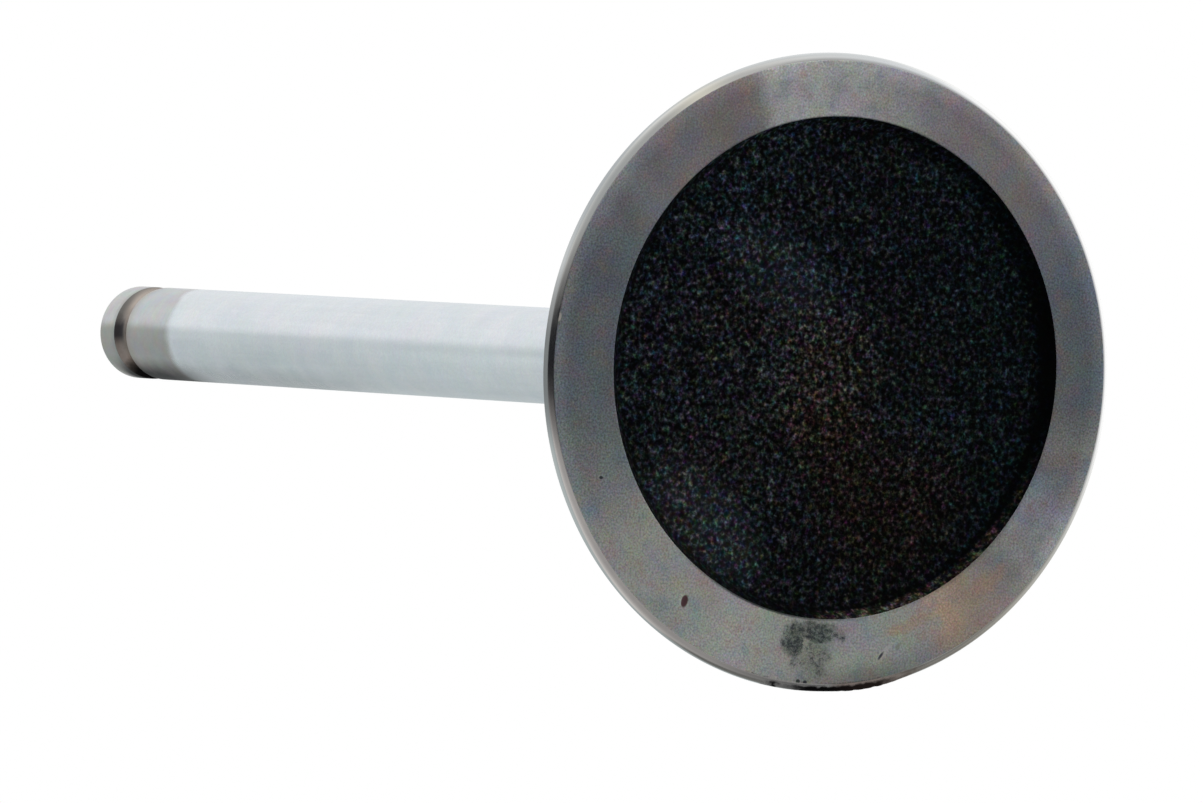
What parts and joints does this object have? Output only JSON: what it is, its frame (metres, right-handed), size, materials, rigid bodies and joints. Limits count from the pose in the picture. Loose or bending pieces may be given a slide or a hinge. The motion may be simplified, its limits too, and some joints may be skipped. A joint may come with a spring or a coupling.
{
  "type": "engine valve",
  "caption": "Poppet valve for a piston engine: mushroom head with a forged pocket in its face, swept neck and chrome-plated stem with a keeper groove.",
  "frame": {"origin": "where the stem's axis meets the plane of the machined ring round the combustion face, so the valve stands on its head on z = 0", "axes": "+Z along the stem, from the head to the tip; the pocket in the face is off the axis towards +X +Y"},
  "size_m": [0.0512, 0.0512, 0.127],
  "materials": {
    "valve_steel": "satin chrome on the stem, ground seat and ring, dark forging scale in the pocket of the face"
  },
  "bodies": {
    "root": {"valve": "valve_steel"}
  },
  "joints": []
}
